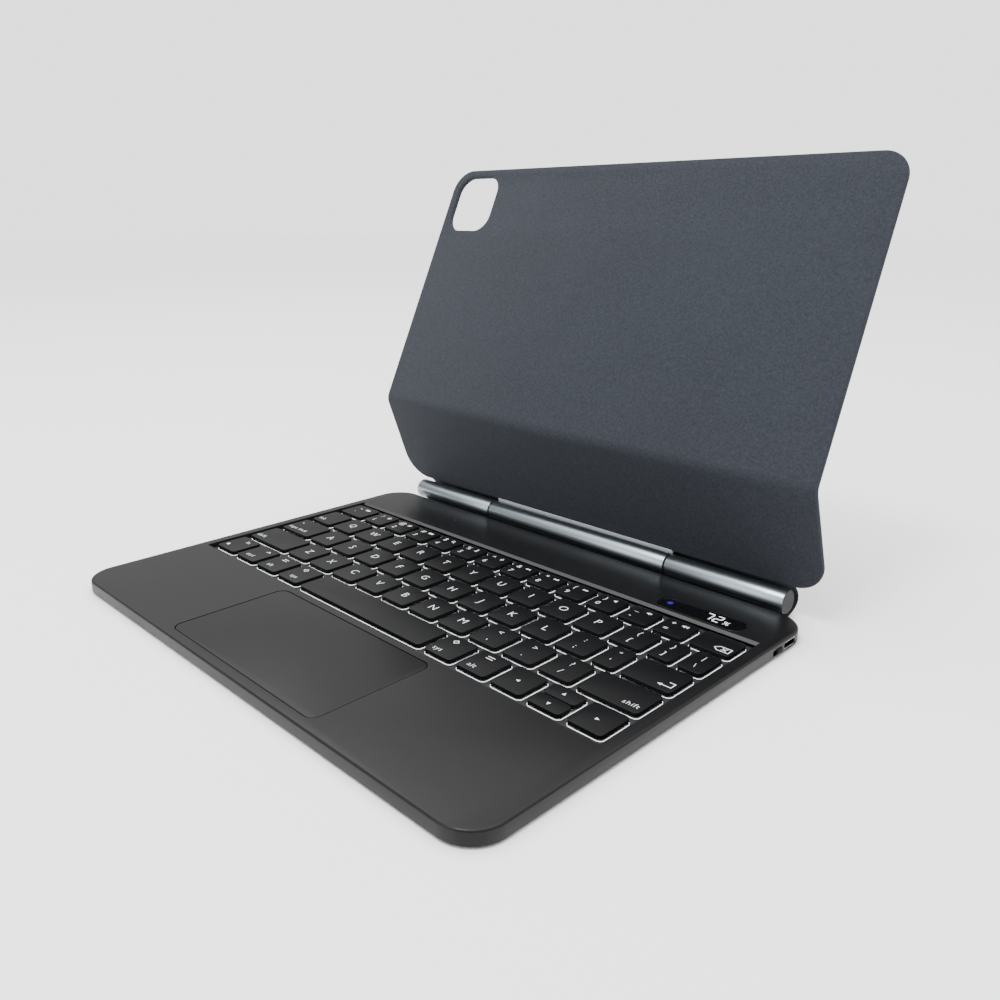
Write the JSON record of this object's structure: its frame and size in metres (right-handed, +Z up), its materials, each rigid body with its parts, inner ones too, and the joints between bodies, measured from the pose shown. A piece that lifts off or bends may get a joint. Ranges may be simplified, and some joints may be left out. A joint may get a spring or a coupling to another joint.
{
  "type": "tablet keyboard case",
  "caption": "Folding keyboard case for a tablet: backlit keyboard base with trackpad, barrel hinge and a creased two-panel fabric lid with a camera opening.",
  "frame": {"origin": "middle of the underside that the case stands on, midway between the base's front and rear edges", "axes": "+X to the user's right, +Y away from the user towards the hinge, +Z up"},
  "size_m": [0.2513, 0.2352, 0.1841],
  "materials": {
    "deck_paint": "satin, very fine grain",
    "dark_plastic": "matt",
    "key_plastic": "matt, soft touch",
    "gloss_black": "mirror gloss",
    "barrel_metal": "satin anodised",
    "steel": "bright",
    "lid_fabric": "fine suede-like microfibre",
    "outer_skin": "fine-grained soft skin",
    "core_board": "hidden stiffener",
    "board_green": "hidden circuit board",
    "cell_silver": "hidden foil pouch",
    "light_white": "hidden light guide",
    "led_blue": "lit"
  },
  "bodies": {
    "base": {"base_top_case": "deck_paint", "base_floor_plate": "dark_plastic", "bottom_skin": "outer_skin", "backlight_guide": "light_white", "key_membrane": "board_green", "keyboard_support_plate": "steel", "key_web": "dark_plastic", "trackpad_click_switch": "steel", "battery_left": "cell_silver", "battery_right": "cell_silver", "main_board": "board_green", "display_window": "gloss_black", "display_module": "dark_plastic", "status_led": "led_blue", "charging_port_shell": "steel", "barrel_left": "barrel_metal", "barrel_right": "barrel_metal", "barrel_cap_left": "deck_paint", "barrel_cap_right": "deck_paint", "friction_unit_left": "steel", "friction_unit_right": "steel", "hinge_mount_left": "steel", "hinge_mount_right": "steel", "spine_skin": "outer_skin"},
    "lower_lid": {"barrel_centre": "barrel_metal", "hinge_shaft_left": "steel", "hinge_shaft_right": "steel", "lid_bracket": "barrel_metal", "lower_inner_fabric": "lid_fabric", "lower_core": "core_board", "lower_outer_skin": "outer_skin"},
    "upper_lid": {"upper_inner_fabric": "lid_fabric", "upper_core": "core_board", "upper_outer_skin": "outer_skin", "magnet_lower": "steel", "magnet_upper": "steel"},
    "trackpad": {"trackpad_plate": "deck_paint", "trackpad_board": "board_green"},
    "power_switch": {"power_switch_knob": "dark_plastic"},
    "body_number_keys": {"number_keys": "key_plastic"},
    "body_upper_letter_keys": {"upper_letter_keys": "key_plastic"},
    "body_home_letter_keys": {"home_letter_keys": "key_plastic"},
    "body_lower_letter_keys": {"lower_letter_keys": "key_plastic"},
    "body_key_delete": {"key_delete": "key_plastic"},
    "body_key_tab": {"key_tab": "key_plastic"},
    "body_key_caps": {"key_caps": "key_plastic"},
    "body_key_return": {"key_return": "key_plastic"},
    "body_key_shift_left": {"key_shift_left": "key_plastic"},
    "body_key_shift_right": {"key_shift_right": "key_plastic"},
    "body_key_fn": {"key_fn": "key_plastic"},
    "body_key_ctrl": {"key_ctrl": "key_plastic"},
    "body_key_alt_left": {"key_alt_left": "key_plastic"},
    "body_key_cmd_left": {"key_cmd_left": "key_plastic"},
    "body_key_space": {"key_space": "key_plastic"},
    "body_key_cmd_right": {"key_cmd_right": "key_plastic"},
    "body_key_alt_right": {"key_alt_right": "key_plastic"},
    "body_key_left": {"key_left": "key_plastic"},
    "body_key_down": {"key_down": "key_plastic"},
    "body_key_up": {"key_up": "key_plastic"},
    "body_key_right": {"key_right": "key_plastic"}
  },
  "joints": [
    {"name": "lid_hinge", "type": "hinge", "parent": "base", "child": "lower_lid", "pos_m": [0, 0.0982, 0.0084], "axis": [1, 0, 0], "range_deg": [-8, 69.6], "deforming": ["spine_skin"]},
    {"name": "crease_fold", "type": "hinge", "parent": "lower_lid", "child": "upper_lid", "pos_m": [0, 0.08346, 0.06111], "axis": [1, 0, 0], "range_deg": [-10, 45.4]},
    {"name": "trackpad_press", "type": "hinge", "parent": "base", "child": "trackpad", "pos_m": [0, -0.0367, 0.0055], "axis": [1, 0, 0], "range_deg": [0, 0.4], "stiffness_Nm_per_rad": 4.3},
    {"name": "power_switch_slide", "type": "slide", "parent": "base", "child": "power_switch", "axis": [0, -1, 0], "range_m": [0, 0.0024]},
    {"name": "number_keys_press", "type": "slide", "parent": "base", "child": "body_number_keys", "axis": [0, 0, -1], "range_m": [0, 0.0008], "stiffness_N_per_m": 700, "springref_m": -0.0002},
    {"name": "upper_letter_keys_press", "type": "slide", "parent": "base", "child": "body_upper_letter_keys", "axis": [0, 0, -1], "range_m": [0, 0.0008], "stiffness_N_per_m": 700, "springref_m": -0.0002},
    {"name": "home_letter_keys_press", "type": "slide", "parent": "base", "child": "body_home_letter_keys", "axis": [0, 0, -1], "range_m": [0, 0.0008], "stiffness_N_per_m": 700, "springref_m": -0.0002},
    {"name": "lower_letter_keys_press", "type": "slide", "parent": "base", "child": "body_lower_letter_keys", "axis": [0, 0, -1], "range_m": [0, 0.0008], "stiffness_N_per_m": 700, "springref_m": -0.0002},
    {"name": "key_delete_press", "type": "slide", "parent": "base", "child": "body_key_delete", "axis": [0, 0, -1], "range_m": [0, 0.0008], "stiffness_N_per_m": 700, "springref_m": -0.0002},
    {"name": "key_tab_press", "type": "slide", "parent": "base", "child": "body_key_tab", "axis": [0, 0, -1], "range_m": [0, 0.0008], "stiffness_N_per_m": 700, "springref_m": -0.0002},
    {"name": "key_caps_press", "type": "slide", "parent": "base", "child": "body_key_caps", "axis": [0, 0, -1], "range_m": [0, 0.0008], "stiffness_N_per_m": 700, "springref_m": -0.0002},
    {"name": "key_return_press", "type": "slide", "parent": "base", "child": "body_key_return", "axis": [0, 0, -1], "range_m": [0, 0.0008], "stiffness_N_per_m": 700, "springref_m": -0.0002},
    {"name": "key_shift_left_press", "type": "slide", "parent": "base", "child": "body_key_shift_left", "axis": [0, 0, -1], "range_m": [0, 0.0008], "stiffness_N_per_m": 700, "springref_m": -0.0002},
    {"name": "key_shift_right_press", "type": "slide", "parent": "base", "child": "body_key_shift_right", "axis": [0, 0, -1], "range_m": [0, 0.0008], "stiffness_N_per_m": 700, "springref_m": -0.0002},
    {"name": "key_fn_press", "type": "slide", "parent": "base", "child": "body_key_fn", "axis": [0, 0, -1], "range_m": [0, 0.0008], "stiffness_N_per_m": 700, "springref_m": -0.0002},
    {"name": "key_ctrl_press", "type": "slide", "parent": "base", "child": "body_key_ctrl", "axis": [0, 0, -1], "range_m": [0, 0.0008], "stiffness_N_per_m": 700, "springref_m": -0.0002},
    {"name": "key_alt_left_press", "type": "slide", "parent": "base", "child": "body_key_alt_left", "axis": [0, 0, -1], "range_m": [0, 0.0008], "stiffness_N_per_m": 700, "springref_m": -0.0002},
    {"name": "key_cmd_left_press", "type": "slide", "parent": "base", "child": "body_key_cmd_left", "axis": [0, 0, -1], "range_m": [0, 0.0008], "stiffness_N_per_m": 700, "springref_m": -0.0002},
    {"name": "key_space_press", "type": "slide", "parent": "base", "child": "body_key_space", "axis": [0, 0, -1], "range_m": [0, 0.0008], "stiffness_N_per_m": 700, "springref_m": -0.0002},
    {"name": "key_cmd_right_press", "type": "slide", "parent": "base", "child": "body_key_cmd_right", "axis": [0, 0, -1], "range_m": [0, 0.0008], "stiffness_N_per_m": 700, "springref_m": -0.0002},
    {"name": "key_alt_right_press", "type": "slide", "parent": "base", "child": "body_key_alt_right", "axis": [0, 0, -1], "range_m": [0, 0.0008], "stiffness_N_per_m": 700, "springref_m": -0.0002},
    {"name": "key_left_press", "type": "slide", "parent": "base", "child": "body_key_left", "axis": [0, 0, -1], "range_m": [0, 0.0008], "stiffness_N_per_m": 700, "springref_m": -0.0002},
    {"name": "key_down_press", "type": "slide", "parent": "base", "child": "body_key_down", "axis": [0, 0, -1], "range_m": [0, 0.0008], "stiffness_N_per_m": 700, "springref_m": -0.0002},
    {"name": "key_up_press", "type": "slide", "parent": "base", "child": "body_key_up", "axis": [0, 0, -1], "range_m": [0, 0.0008], "stiffness_N_per_m": 700, "springref_m": -0.0002},
    {"name": "key_right_press", "type": "slide", "parent": "base", "child": "body_key_right", "axis": [0, 0, -1], "range_m": [0, 0.0008], "stiffness_N_per_m": 700, "springref_m": -0.0002}
  ]
}
